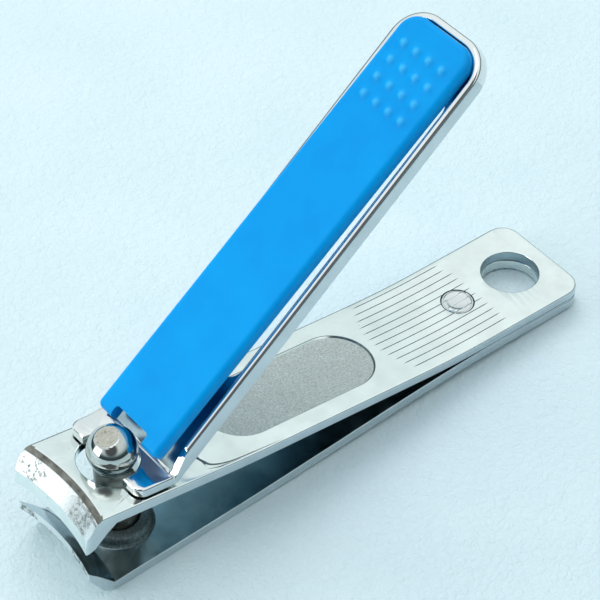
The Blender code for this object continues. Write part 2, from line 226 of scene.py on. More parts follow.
def rounded_bar(x0, x1, half, r0, r1, steps=16):
    points = arc(x1 - r1, half - r1, r1, 90, 0, steps) + arc(x1 - r1, r1 - half, r1, 0, -90, steps)
    points += arc(x0 + r0, r0 - half, r0, -90, -180, steps)
    points += arc(x0 + r0, half - r0, r0, 180, 90, steps)
    return list(reversed(points))


def rounded_corner(before, corner, after, radius, steps=8):
    """Points that round one corner of an outline."""
    a = (Vector(before) - Vector(corner)).normalized()
    b = (Vector(after) - Vector(corner)).normalized()
    half = a.angle(b) / 2
    reach = radius / math.tan(half)
    centre = Vector(corner) + (a + b).normalized() * radius / math.sin(half)
    start = (Vector(corner) + a * reach - centre).normalized()
    end = (Vector(corner) + b * reach - centre).normalized()
    return [tuple(centre + start.slerp(end, i / steps) * radius) for i in range(steps + 1)]


def slice_mesh(obj, planes):
    """Cut extra edges into the mesh where planes, each a point and a normal, cross it."""
    bm = bmesh.new()
    bm.from_mesh(obj.data)
    for point, normal in planes:
        geom = list(bm.verts) + list(bm.edges) + list(bm.faces)
        bmesh.ops.bisect_plane(bm, geom=geom, plane_co=point, plane_no=normal, dist=1e-7)
    bm.to_mesh(obj.data)
    bm.free()


def tidy(obj, angle=0.4):
    """Merge double points and flat neighbouring faces, so that a bevel runs clean."""
    bm = bmesh.new()
    bm.from_mesh(obj.data)
    bmesh.ops.remove_doubles(bm, verts=bm.verts, dist=2e-6)
    bmesh.ops.dissolve_limit(bm, angle_limit=math.radians(angle), verts=bm.verts, edges=bm.edges)
    bm.to_mesh(obj.data)
    bm.free()


def bevel(obj, width, rule, segments=4):
    """Round each sharp edge by width times what rule gives for its middle and its two normals."""
    bm = bmesh.new()
    bm.from_mesh(obj.data)
    layer = bm.edges.layers.float.new("bevel_weight_edge")
    for edge in bm.edges:
        if len(edge.link_faces) != 2 or edge.calc_face_angle(0.0) < math.radians(22.0):
            continue
        middle = (edge.verts[0].co + edge.verts[1].co) / 2
        edge[layer] = rule(middle, [f.normal for f in edge.link_faces])
    bm.to_mesh(obj.data)
    bm.free()
    mod = obj.modifiers.new("bevel", "BEVEL")
    mod.limit_method = "WEIGHT"
    mod.width = width
    mod.segments = segments
    mod.use_clamp_overlap = False
    mod.miter_outer = "MITER_ARC"
    apply_modifiers(obj)


def even_normals(obj, sharp=26.0):
    """Normals that leave flat faces flat and run smoothly round the bevels between them."""
    bm = bmesh.new()
    bm.from_mesh(obj.data)
    bmesh.ops.remove_doubles(bm, verts=bm.verts, dist=1e-6)
    bmesh.ops.triangulate(bm, faces=[f for f in bm.faces if len(f.verts) > 4])
    bm.to_mesh(obj.data)
    bm.free()
    obj.data.shade_smooth()
    obj.data.set_sharp_from_angle(angle=math.radians(sharp))
    mod = obj.modifiers.new("normals", "WEIGHTED_NORMAL")
    mod.keep_sharp = True
    mod.weight = 70
    apply_modifiers(obj)


def paint(obj, materials, rule):
    """Give the object its materials, each face by its centre and normal."""
    obj.data.materials.clear()
    for mat in materials:
        obj.data.materials.append(mat)
    for face in obj.data.polygons:
        face.material_index = rule(face.center, face.normal)


# ---- the bow ----

def bow_at(bow, x):
    """Height and slope of a leaf's upper face at x, from (x, height, slope) stations in mm."""
    x = x / MM
    if x <= bow[-1][0]:
        x0, z0, m0 = bow[-1]
        return (z0 + m0 * (x - x0)) * MM, m0
    for (xa, za, ma), (xb, zb, mb) in zip(bow, bow[1:]):
        if x >= xb:
            break
    h = xb - xa
    t = (x - xa) / h
    z = ((2 * t**3 - 3 * t**2 + 1) * za + (t**3 - 2 * t**2 + t) * h * ma
         + (3 * t**2 - 2 * t**3) * zb + (t**3 - t**2) * h * mb)
    slope = ((6 * t**2 - 6 * t) * (za - zb) / h + (3 * t**2 - 4 * t + 1) * ma
             + (3 * t**2 - 2 * t) * mb)
    return z * MM, slope


def bend(obj, bow, step=0.8 * MM):
    """Bend a flat piece along the bow, and turn its normals with it."""
    low = min(v.co.x for v in obj.data.vertices)
    high = max(v.co.x for v in obj.data.vertices)
    planes = []
    x = max(low, STRAIGHT_X)
    while x < high:
        planes.append(((x, 0, 0), (1, 0, 0)))
        x += step
    slice_mesh(obj, planes)
    even_normals(obj)
    mesh = obj.data
    flat = [tuple(n.vector) for n in mesh.corner_normals]
    turned_normals = []
    for loop, (nx, ny, nz) in zip(mesh.loops, flat):
        slope = bow_at(bow, mesh.vertices[loop.vertex_index].co.x)[1]
        up = Vector((-slope, 0, 1)).normalized()
        along = Vector((1, 0, slope)).normalized()
        turned_normals.append(along * nx + Vector((0, ny, 0)) + up * nz)
    for vert in mesh.vertices:
        z, slope = bow_at(bow, vert.co.x)
        up = Vector((-slope, 0, 1)).normalized()
        vert.co = Vector((vert.co.x, vert.co.y, z)) + up * vert.co.z
    mesh.normals_split_custom_set(turned_normals)


# ---- materials ----

def shader(name):
    mat = bpy.data.materials.new(name)
    mat.use_nodes = True
    return mat, mat.node_tree, mat.node_tree.nodes["Principled BSDF"]


def add(tree, kind, **sockets):
    node = tree.nodes.new(kind)
    for key, value in sockets.items():
        node.inputs[key.replace("_", " ")].default_value = value
    return node


def link(tree, a, b):
    tree.links.new(a, b)


def place(tree, scale=(1, 1, 1)):
    """The object's own coordinates in millimetres, stretched by scale."""
    coords = tree.nodes.new("ShaderNodeTexCoord")
    mapping = tree.nodes.new("ShaderNodeMapping")
    mapping.inputs["Scale"].default_value = [1000.0 * s for s in scale]
    link(tree, coords.outputs["Object"], mapping.inputs["Vector"])
    return mapping.outputs["Vector"]


def noise(tree, vector, scale, detail=3.0, rough=0.55):
    node = add(tree, "ShaderNodeTexNoise", Scale=scale, Detail=detail, Roughness=rough)
    link(tree, vector, node.inputs["Vector"])
    return node.outputs["Fac"]


def ramp(tree, value, stops):
    node = tree.nodes.new("ShaderNodeValToRGB")
    elements = node.color_ramp.elements
    while len(elements) < len(stops):
        elements.new(0.5)
    for element, (position, color) in zip(elements, stops):
        element.position = position
        element.color = (*color, 1.0)
    link(tree, value, node.inputs["Fac"])
    return node.outputs["Color"]


def to_range(tree, value, low, high, new_low, new_high):
    node = add(tree, "ShaderNodeMapRange")
    node.inputs["From Min"].default_value = low
    node.inputs["From Max"].default_value = high
    node.inputs["To Min"].default_value = new_low
    node.inputs["To Max"].default_value = new_high
    link(tree, value, node.inputs["Value"])
    return node.outputs["Result"]


def mix(tree, factor, a, b):
    """Mix two colours, each a socket or an (r, g, b)."""
    node = tree.nodes.new("ShaderNodeMix")
    node.data_type = "RGBA"
    link(tree, factor, node.inputs[0])
    for socket, value in ((node.inputs[6], a), (node.inputs[7], b)):
        if isinstance(value, tuple):
            socket.default_value = (*value, 1.0)
        else:
            link(tree, value, socket)
    return node.outputs[2]


def bump(tree, bsdf, heights):
    """Chain bumps of (height socket, strength, distance in mm) into the shader's normal."""
    last = None
    for height, strength, distance in heights:
        node = add(tree, "ShaderNodeBump", Strength=strength, Distance=distance * MM)
        link(tree, height, node.inputs["Height"])
        if last is not None:
            link(tree, last, node.inputs["Normal"])
        last = node.outputs["Normal"]
    link(tree, last, bsdf.inputs["Normal"])


def chrome(name, color, rough, haze=0.06, specks=0.5):
    """Bright plated steel: faint waves, fine hairlines, small dark specks and patchy haze."""
    mat, tree, bsdf = shader(name)
    bsdf.inputs["Metallic"].default_value = 1.0
    at = place(tree)
    along = place(tree, (0.12, 3.0, 3.0))
    clouds = noise(tree, at, 0.35, 4.0)
    grain = noise(tree, at, 9.0, 2.0)
    spots = noise(tree, at, 2.6, 2.0)
    lines = noise(tree, along, 5.0, 2.0)
    waves = noise(tree, at, 0.16, 1.0)
    dark = tuple(c * 0.80 for c in color)
    tone = mix(tree, to_range(tree, clouds, 0.35, 0.7, 0.0, 0.5), color, dark)
    mask = to_range(tree, spots, 0.74, 0.78, 0.0, specks)
    link(tree, mix(tree, mask, tone, (0.12, 0.14, 0.14)), bsdf.inputs["Base Color"])
    link(tree, to_range(tree, clouds, 0.3, 0.75, rough, rough + haze), bsdf.inputs["Roughness"])
    bump(tree, bsdf, [(waves, 0.25, 0.10), (lines, 0.05, 0.01), (grain, 0.04, 0.008)])
    return mat


def recess_steel():
    mat, tree, bsdf = shader("blasted_recess")
    bsdf.inputs["Metallic"].default_value = 0.75
    at = place(tree)
    grain = noise(tree, at, 5.5, 3.0, 0.7)
    fine = noise(tree, at, 13.0, 2.0, 0.6)
    clouds = noise(tree, at, 0.45, 3.0)
    color = ramp(tree, grain, [(0.30, (0.42, 0.45, 0.43)), (0.5, (0.64, 0.69, 0.66)),
                               (0.72, (0.84, 0.89, 0.86))])
    cloud = to_range(tree, clouds, 0.35, 0.7, 0.0, 0.35)
    link(tree, mix(tree, cloud, color, (0.56, 0.58, 0.53)), bsdf.inputs["Base Color"])
    link(tree, to_range(tree, fine, 0.3, 0.7, 0.5, 0.68), bsdf.inputs["Roughness"])
    bump(tree, bsdf, [(grain, 0.5, 0.035), (fine, 0.4, 0.015)])
    return mat


def ground_steel():
    """The blades' ground faces: grinding lines down the face and worn, pitted patches."""
    mat, tree, bsdf = shader("ground_blade")
    bsdf.inputs["Metallic"].default_value = 0.9
    at = place(tree)
    streaks = noise(tree, place(tree, (1.0, 6.0, 0.5)), 2.5, 3.0)
    patch = noise(tree, at, 0.55, 3.0)
    pits = noise(tree, at, 2.4, 5.0, 0.8)
    base = ramp(tree, streaks, [(0.25, (0.74, 0.79, 0.80)), (0.7, (0.95, 0.97, 0.97))])
    split = tree.nodes.new("ShaderNodeSeparateXYZ")
    link(tree, at, split.inputs[0])
    wear = add(tree, "ShaderNodeFloatCurve")
    curve = wear.mapping.curves[0]
    for y, value in ((0.06, 0.10), (0.16, 0.30), (0.28, 0.26),
                     (0.40, 0.0), (0.72, 0.0), (0.84, 0.18)):
        curve.points.new(y, value)
    curve.points[0].location = (0.0, 0.0)
    curve.points[-1].location = (1.0, 0.05)
    wear.mapping.update()
    link(tree, to_range(tree, split.outputs["Y"], -6.0, 6.0, 0.0, 1.0), wear.inputs["Value"])
    worn_at = tree.nodes.new("ShaderNodeMath")
    worn_at.operation = "ADD"
    link(tree, patch, worn_at.inputs[0])
    link(tree, wear.outputs["Value"], worn_at.inputs[1])
    where = to_range(tree, worn_at.outputs[0], 0.58, 0.68, 0.0, 1.0)
    holes = to_range(tree, pits, 0.40, 0.58, 0.0, 1.0)
    both = tree.nodes.new("ShaderNodeMath")
    both.operation = "MULTIPLY"
    link(tree, where, both.inputs[0])
    link(tree, holes, both.inputs[1])
    worn = both.outputs[0]
    link(tree, mix(tree, worn, base, (0.20, 0.23, 0.22)), bsdf.inputs["Base Color"])
    link(tree, to_range(tree, worn, 0.0, 1.0, 0.26, 0.5), bsdf.inputs["Roughness"])
    bump(tree, bsdf, [(streaks, 0.12, 0.02), (pits, 0.10, 0.03)])
    return mat


def shade_inner_steel():
    """The jaws' inner faces, the key-ring hole's wall and the lever's pan floor: darker than the
    outside as painted shade, duller, with rolling lines along them.
    """
    mat, tree, bsdf = shader("shade_inner_steel")
    bsdf.inputs["Metallic"].default_value = 1.0
    at = place(tree)
    lines = noise(tree, place(tree, (0.10, 3.0, 3.0)), 3.0, 3.0)
    clouds = noise(tree, at, 0.25, 3.0)
    # The dark colour ramp is painted shade.
    color = ramp(tree, clouds, [(0.3, (0.28, 0.38, 0.42)), (0.7, (0.50, 0.62, 0.67))])
    link(tree, color, bsdf.inputs["Base Color"])
    link(tree, to_range(tree, clouds, 0.3, 0.7, 0.12, 0.24), bsdf.inputs["Roughness"])
    bump(tree, bsdf, [(lines, 0.06, 0.02)])
    return mat


def shade_band_steel():
    """Painted shade for the bend between a jaw's top and its ground face and for the pin's neck and
    base: dull, dark, brownish and streaked.
    """
    mat, tree, bsdf = shader("shade_band_steel")
    bsdf.inputs["Metallic"].default_value = 0.9
    streaks = noise(tree, place(tree, (1.0, 0.6, 1.0)), 1.6, 4.0)
    link(tree, ramp(tree, streaks, [(0.3, (0.09, 0.09, 0.08)), (0.7, (0.30, 0.30, 0.27))]),
         bsdf.inputs["Base Color"])
    link(tree, to_range(tree, streaks, 0.3, 0.7, 0.26, 0.42), bsdf.inputs["Roughness"])
    bump(tree, bsdf, [(streaks, 0.2, 0.02)])
    return mat


# Painted shade: dark steel for the engraved lines and creases, the recess's top ring and its near
# and end walls, and the lower jaw's boss round the pin.
def shade_groove_steel():
    mat, tree, bsdf = shader("shade_groove_steel")
    bsdf.inputs["Metallic"].default_value = 0.8
    grain = noise(tree, place(tree), 4.0, 2.0)
    link(tree, ramp(tree, grain, [(0.3, (0.09, 0.13, 0.13)), (0.7, (0.24, 0.29, 0.30))]),
         bsdf.inputs["Base Color"])
    link(tree, to_range(tree, grain, 0.3, 0.7, 0.35, 0.5), bsdf.inputs["Roughness"])
    bump(tree, bsdf, [(grain, 0.3, 0.01)])
    return mat


def pin_top_steel():
    """The pin's cut top: matt, brownish, scratched and pitted."""
    mat, tree, bsdf = shader("cut_pin_top")
    bsdf.inputs["Metallic"].default_value = 0.7
    at = place(tree)
    scratch = noise(tree, place(tree, (0.8, 6.0, 1.0)), 3.0, 3.0)
    pits = noise(tree, at, 2.4, 4.0, 0.7)
    base = ramp(tree, scratch, [(0.25, (0.34, 0.32, 0.27)), (0.7, (0.66, 0.64, 0.57))])
    dark = to_range(tree, pits, 0.56, 0.66, 0.0, 0.8)
    link(tree, mix(tree, dark, base, (0.12, 0.11, 0.10)), bsdf.inputs["Base Color"])
    link(tree, to_range(tree, pits, 0.3, 0.7, 0.34, 0.6), bsdf.inputs["Roughness"])
    bump(tree, bsdf, [(scratch, 0.3, 0.03), (pits, 0.5, 0.06)])
    return mat


def blue_plastic():
    mat, tree, bsdf = shader("blue_cover_plastic")
    at = place(tree)
    clouds = noise(tree, at, 0.22, 3.0)
    grain = noise(tree, at, 7.0, 3.0)
    color = ramp(tree, clouds, [(0.3, (0.0, 0.335, 0.84)), (0.7, (0.0, 0.380, 0.90))])
    # Painted highlight: the bumps' tops are mixed towards light cyan by their height over the cover.
    tall = tree.nodes.new("ShaderNodeVectorMath")
    tall.operation = "DOT_PRODUCT"
    tall.inputs[1].default_value = (COVER_DROP, 0.0, 1.0)
    link(tree, at, tall.inputs[0])
    base = (COVER_TOP[0] + COVER_DROP * COVER_FRONT_S) / MM
    tips = to_range(tree, tall.outputs["Value"], base + 0.10, base + 0.27, 0.0, 0.6)
    link(tree, mix(tree, tips, color, (0.10, 0.62, 1.0)), bsdf.inputs["Base Color"])
    link(tree, to_range(tree, grain, 0.3, 0.7, 0.30, 0.40), bsdf.inputs["Roughness"])
    bsdf.inputs["IOR"].default_value = 1.46
    bsdf.inputs["Specular IOR Level"].default_value = 0.15
    bsdf.inputs["Subsurface Weight"].default_value = 0.15
    bsdf.inputs["Subsurface Radius"].default_value = (0.0004, 0.0008, 0.0015)
    bsdf.inputs["Subsurface Scale"].default_value = 1.0
    bump(tree, bsdf, [(grain, 0.10, 0.012), (clouds, 0.15, 0.05)])
    return mat


def floor_material():
    mat, tree, bsdf = shader("pale_leatherette")
    at = place(tree)
    cells = tree.nodes.new("ShaderNodeTexVoronoi")
    cells.feature = "DISTANCE_TO_EDGE"
    cells.inputs["Scale"].default_value = 1.25
    wobble = noise(tree, at, 0.8, 3.0)
    warp = add(tree, "ShaderNodeTexNoise", Scale=0.9, Detail=3.0)
    link(tree, at, warp.inputs["Vector"])
    warped = tree.nodes.new("ShaderNodeVectorMath")
    link(tree, at, warped.inputs[0])
    link(tree, warp.outputs["Color"], warped.inputs[1])
    link(tree, warped.outputs["Vector"], cells.inputs["Vector"])
    clouds = noise(tree, at, 0.05, 2.0)
    color = ramp(tree, clouds, [(0.3, (0.70, 0.85, 0.91)), (0.7, (0.75, 0.89, 0.94))])
    link(tree, color, bsdf.inputs["Base Color"])
    bsdf.inputs["Roughness"].default_value = 0.62
    creases = to_range(tree, cells.outputs["Distance"], 0.0, 0.18, 0.0, 1.0)
    bump(tree, bsdf, [(creases, 0.34, 0.09), (wobble, 0.9, 0.20)])
    return mat


# ---- jaws ----

def leaf_blank(name, blade, tip_x, front_width, holes):
    """A flat leaf with its hollow blade, tapered outline and holes, not yet bevelled."""
    axis_x = tip_x - math.sqrt(EDGE_RADIUS**2 - (JAW_WIDTH / 2)**2)
    side = [(axis_x + r * MM, n * MM) for r, n in blade]
    tail = TAIL_X + MM
    side += [(tail, -JAW_SHEET), (tail, 0.0)]
    leaf = prism(name, side, -JAW_WIDTH / 2 - 0.3 * MM, JAW_WIDTH / 2 + 0.3 * MM, SIDE)
    slice_mesh(leaf, [((0, (0.4 * i - 6.03) * MM, 0), (0, 1, 0)) for i in range(31)])
    for vert in leaf.data.vertices:
        radius = vert.co.x - axis_x
        if radius < CURVED_RADIUS:
            vert.co.x = axis_x + math.sqrt(radius**2 - vert.co.y**2)
    tidy(leaf)
    plan = rounded_bar(tip_x - 0.02 * MM, TAIL_X, JAW_WIDTH / 2, 0.45 * MM, TAIL_CORNER)
    taper = (1 - front_width / JAW_WIDTH) / (TAIL_X - tip_x)
    plan = [(x, y * (1 - taper * (TAIL_X - x))) for x, y in plan]
    combine(leaf, prism(name + "_plan", plan, -FAR, FAR), "INTERSECT")
    for x, radius in holes:
        circle = list(reversed(arc(x, 0, radius, 2.8, 362.8, 64)[:-1]))
        combine(leaf, prism(name + "_hole", circle, -FAR, FAR), "DIFFERENCE")
    tidy(leaf)
    return leaf, axis_x


def leaf_bevel(leaf, axis_x):
    """Round a leaf's edges: wide on its outline, fine at its holes, and none at the blade's tips."""
    cutting_edge = 22.3 * MM
    bend_edge = 22.8 * MM
    blade_back = 25.2 * MM
    rivet_rim = 2.2 * MM
    key_rim = 3.2 * MM

    def rule(middle, normals):
        radius = math.hypot(middle.x - axis_x, middle.y)
        level = max(abs(n.z) for n in normals)
        if math.hypot(middle.x - RIVET_HOLE[0], middle.y) < rivet_rim:
            return 0.12
        if math.hypot(middle.x - KEY_HOLE[0], middle.y) < key_rim:
            return 0.45
        if radius < cutting_edge:
            return 0.0
        if -0.6 * MM < middle.z < -0.3 * MM and radius < bend_edge:
            return 1.2
        if abs(middle.y) > 5.3 * MM or middle.x > TAIL_X - 2.2 * MM:
            return 1.0 if radius > CURVED_RADIUS else 0.0
        if radius < blade_back and level < 0.999:
            return 0.4
        return 0.45
    bevel(leaf, 0.22 * MM, rule)


def groove(bm, points, depth):
    """Add a V-shaped cutter along (x, y, width) points at the leaf's upper face."""
    rings = []
    over = 0.05 * MM
    for i, (x, y, width) in enumerate(points):
        x0, y0, _ = points[max(i - 1, 0)]
        x1, y1, _ = points[min(i + 1, len(points) - 1)]
        across = Vector((y0 - y1, x1 - x0, 0)).normalized()
        half = width / 2 * (depth + over) / depth
        centre = Vector((x, y, 0))
        deep = depth * min(1.0, width / (0.1 * MM))
        ring = [centre + across * half + Vector((0, 0, over)),
                centre - across * half + Vector((0, 0, over)), centre - Vector((0, 0, deep))]
        rings.append([bm.verts.new(p) for p in ring])
    bm.faces.new(rings[0])
    bm.faces.new(list(reversed(rings[-1])))
    for a, b in zip(rings, rings[1:]):
        for i in range(3):
            j = (i + 1) % 3
            bm.faces.new((a[j], a[i], b[i], b[j]))


def engraved_lines():
    """The lines over the tail, from a curve behind the recess to just before the key-ring hole."""
    lines = []
    fade = 0.5 * MM
    for i in range(LINE_COUNT):
        y = (5.25 - LINE_PITCH * i) * MM
        start = (7.7 + 0.062 * (y / MM + 0.1)**2) * MM
        end = (21.4 - (0.5 if i < 2 else 0.0)) * MM
        lines.append([(start, y, LINE_END_WIDTH * MM), (start + fade, y, LINE_WIDTH * MM),
                      (end - fade, y, LINE_WIDTH * MM), (end, y, LINE_END_WIDTH * MM)])
    return lines


def curve_through(points, steps=5):
    """Points along a smooth curve through all the given ones."""
    line = [Vector(p) for p in points]
    ends = [2 * line[0] - line[1]] + line + [2 * line[-1] - line[-2]]
    curve = []
    for a, b, c, d in zip(ends, ends[1:], ends[2:], ends[3:]):
        for i in range(steps):
            t = i / steps
            curve.append(0.5 * (2 * b + (c - a) * t + (2 * a - 5 * b + 4 * c - d) * t**2
                                + (3 * b - a - 3 * c + d) * t**3))
    return curve + [line[-1]]


def groove_cutter(lines, depth):
    """One cutter for many grooves, each a list of (x, y, width) points."""
    bm = bmesh.new()
    for line in lines:
        groove(bm, line, depth)
    bmesh.ops.recalc_face_normals(bm, faces=bm.faces)
    return add_object("groove_cutter", bm)


def make_upper_leaf(mats):
    """The upper jaw: blade, holes, oval recess, creases round the pin hole and lines on the tail."""
    leaf, axis_x = leaf_blank("upper_leaf", UPPER_BLADE, UPPER_TIP_X, UPPER_FRONT_WIDTH,
                              [KEY_HOLE, RIVET_HOLE, PIN_HOLE])
    leaf_bevel(leaf, axis_x)
    front, back = RECESS_X
    loops = []
    for grow, n in RECESS_WALL:
        half = (RECESS_HALF + grow) * MM
        outline = rounded_bar((front - grow) * MM, (back + grow) * MM, half, half, half, 24)
        loops.append([(x, y, n * MM) for x, y in outline])
    combine(leaf, loft("recess_cutter", loops), "DIFFERENCE")
    crease = [(-8.0, 5.74, 0.03), (-10.5, 5.60, 0.08), (-13.7, 5.50, 0.13), (-15.3, 5.25, 0.20),
              (-16.3, 4.70, 0.26), (-16.7, 3.60, 0.28), (-17.4, 2.2, 0.28), (-17.9, 0.9, 0.26)]
    whole = [(x, -y, w) for x, y, w in crease] + [(x, y, w) for x, y, w in reversed(crease)]
    lines = engraved_lines() + [[p * MM for p in curve_through(whole)]]
    for sign in (-1, 1):
        lines.append([(x * MM, sign * y * MM, w * MM) for x, y, w in
                      ((-16.7, 5.25, 0.05), (-15.6, 5.55, 0.14), (-13.2, 5.66, 0.04))])
    combine(leaf, groove_cutter(lines, LINE_DEPTH), "DIFFERENCE")

    def rule(centre, normal):
        x, y, n = centre
        radius = math.hypot(x - axis_x, y)
        in_recess = front * MM < x < 6.9 * MM and abs(y) < 3.95 * MM
        if in_recess and -0.2 * MM < n < -0.13 * MM:
            return RECESS
        if -2.35 * MM < n < -0.40 * MM and radius < 22.75 * MM and normal.x < -0.5:
            return GROUND
        # Painted shade on the bevel faces round the bend, chosen by their slope.
        if radius < 23.40 * MM and n > -0.75 * MM and 0.42 < normal.z < 0.90:
            return BEND_SHADE
        if in_recess and n < -0.05 * MM and normal.y < -0.1 and normal.x > -0.4:
            return CHROME
        grooved = abs(y) < 5.8 * MM and -18.5 * MM < x < 22.0 * MM
        # Painted shade in the grooves and on the recess's walls that face away.
        if grooved and -0.16 * MM < n < -0.005 * MM and 0.2 < normal.z < 0.97:
            return GROOVE
        # Painted shade on the key-ring hole's wall.
        if math.hypot(x - KEY_HOLE[0], y) < 3.05 * MM and abs(normal.z) < 0.5:
            return INNER_SHADE
        # Painted shade: the jaw's side walls get a darker copy of the chrome.
        if abs(normal.y) > 0.6 and abs(y) > 5.0 * MM:
            return SIDE_SHADE
        # Painted shade on the underside, which faces the lower jaw.
        return INNER_SHADE if normal.z < -0.8 and x < 28.0 * MM else CHROME
    paint(leaf, mats, rule)
    bend(leaf, UPPER_BOW)
    return leaf


def make_lower_leaf(mats):
    """The lower jaw: blade, holes and the boss with the pocket and bore that hold the pin."""
    leaf, axis_x = leaf_blank("lower_leaf", LOWER_BLADE, LOWER_TIP_X, LOWER_FRONT_WIDTH,
                              [KEY_HOLE, RIVET_HOLE])
    leaf_bevel(leaf, axis_x)
    at = Matrix.Translation((PIN_X, 0, 0))
    boss = [(0, 1.1), (2.85, 1.1), (3.02, 1.05), (3.12, 0.92), (3.15, 0.75), (3.16, 0.25),
            (3.25, 0.1), (3.45, 0.01), (3.6, -0.02), (3.6, -0.6), (0, -0.6)]
    combine(leaf, turned("boss", [(r * MM, z * MM) for r, z in boss], 72, at), "UNION")
    pocket = [(0, -0.05), (2.7, -0.05), (2.7, -1.05), (2.85, -1.3), (0, -1.3)]
    combine(leaf, turned("pocket", [(r * MM, z * MM) for r, z in pocket], 64, at), "DIFFERENCE")
    bore = [(0, 1.5), (2.45, 1.5), (2.05, 1.0), (2.05, -1.0), (0, -1.0)]
    combine(leaf, turned("bore", [(r * MM, z * MM) for r, z in bore], 64, at), "DIFFERENCE")

    def rule(centre, normal):
        radius = math.hypot(centre.x - axis_x, centre.y)
        if radius < 22.85 * MM and 1.1 * MM < centre.z and normal.x < -0.5:
            return GROUND
        # Painted shade on the boss round the pin, under the upper jaw.
        if math.hypot(centre.x - PIN_X, centre.y) < 3.4 * MM and centre.z > 0.02 * MM:
            return GROOVE
        # Painted shade on the upper face, which faces the upper jaw.
        if normal.z > 0.8 and centre.z > -0.05 * MM:
            return INNER_SHADE
        # Painted shade: the jaw's side walls get a darker copy of the chrome.
        if abs(normal.y) > 0.6 and abs(centre.y) > 5.0 * MM:
            return SIDE_SHADE
        # Painted shade also on the blade's back, which faces the gap between the jaws.
        blade_back = normal.x > 0.5 and 0.1 * MM < centre.z and radius > 22.2 * MM
        return INNER_SHADE if blade_back else CHROME
    paint(leaf, mats, rule)
    bend(leaf, LOWER_BOW)
    return leaf


def make_rivet(mats):
    """The flush tail rivet: a pressed ring round a slightly hollow end, on both faces."""
    length = 2.4
    face = [(0, -0.02), (0.9, -0.03), (1.05, 0.0), (1.18, 0.045), (1.36, 0.05), (1.47, 0.0),
            (1.51, -0.09), (1.56, -0.09), (1.61, -0.01), (1.65, -0.04)]
    profile = face + [(r, -length - n) for r, n in reversed(face)]
    at = Matrix.Translation((RIVET_HOLE[0], 0, 0))
    rivet = turned("tail_rivet_end", [(r * MM, n * MM) for r, n in profile], 72, at)
    lines = [line for line in engraved_lines() if abs(line[0][1]) < 1.2 * MM]
    combine(rivet, groove_cutter(lines, 0.06 * MM), "DIFFERENCE")
    paint(rivet, mats, lambda centre, normal: 0)
    bend(rivet, UPPER_BOW)
    return rivet


# ---- pin ----

def make_pin(mats):
    """The pin: ball head cut off aslant, straight neck with the lever's notch, and wide base."""
    neck = PIN_RADIUS
    low = math.degrees(math.asin(neck / BALL_RADIUS))
    ball = arc(0, BALL_Z, BALL_RADIUS, 90, low - 84, 40)
    ball[0] = (0.0, BALL_Z + BALL_RADIUS)
    lower = [(neck + 0.02, BALL_Z - 1.62), (neck, BALL_Z - 1.8), (neck, 1.35),
             (neck + 0.25, 1.0), (2.5, 0.95), (2.6, 0.85), (2.6, 0.2), (2.5, 0.10), (0, 0.10)]
    pin = turned("pin_body", [(r * MM, z * MM) for r, z in ball + lower], 96)
    origin = Vector((0, 0, TOP_CUT_Z * MM))
    cut = Matrix.Translation(origin) @ Matrix.Rotation(TOP_CUT_TILT, 4, "Y")
    box = [(-FAR, -FAR), (FAR, -FAR), (FAR, FAR), (-FAR, FAR)]
    combine(pin, prism("top_cut", box, 0, FAR, cut), "DIFFERENCE")
    front = NOTCH_FRONT * MM
    bottom, roof = (z * MM for z in NOTCH_Z)
    notch = [(front, bottom), (FAR, bottom), (FAR, roof), (front, roof)]
    combine(pin, prism("notch_cut", notch, -FAR, FAR, SIDE), "DIFFERENCE")
    tidy(pin, 0.2)
    top = cut.to_3x3() @ Vector((0, 0, 1))

    def rule_top(middle, normals):
        return 1.0 if any(n.dot(top) > 0.999 for n in normals) else 0.5
    bevel(pin, 0.12 * MM, rule_top)

    def rule(centre, normal):
        if normal.dot(top) > 0.999 and abs((centre - origin).dot(top)) < 0.01 * MM:
            return 1
        # Painted shade on the pin's neck and base, under the ball.
        return 2 if centre.z < (BALL_Z - 1.5) * MM else 0
    paint(pin, mats, rule)
    even_normals(pin)
    pin.location = (PIN_X, 0, 0)
    return pin


# ---- lever ----

def handle_frame(s=0.0, n=0.0):
    """Frame on the lever: local X along the handle, local Z out of the pan."""
    at = Matrix.Translation(LEVER_ORIGIN) @ Matrix.Rotation(-LEVER_ANGLE, 4, "Y")
    return at @ Matrix.Translation((s, 0, n))


def handle_point(s, n):
    """Point in side view, as x and z, at s along the handle and n over the rim."""
    p = handle_frame() @ Vector((s, 0, n))
    return p.x, p.z


def foot_point(x, height):
    """Point in side view on a plane of the foot, at a height over the foot's underside."""
    z, slope = bow_at(UPPER_BOW, STRAIGHT_X)
    rise = (FOOT_GAP + height) / math.cos(math.atan(slope))
    return x, z + rise + slope * (x - STRAIGHT_X)


def lever_heel(height):
    """Corner in side view where the foot's plane meets the handle's."""
    xj, zj = foot_point(STRAIGHT_X, height)
    xh, zh = handle_point(0.0, height - RIM_HEIGHT)
    mh = math.tan(LEVER_ANGLE)
    x = (zh - zj + UPPER_SLOPE * xj - mh * xh) / (UPPER_SLOPE - mh)
    return x, zj + UPPER_SLOPE * (x - xj)


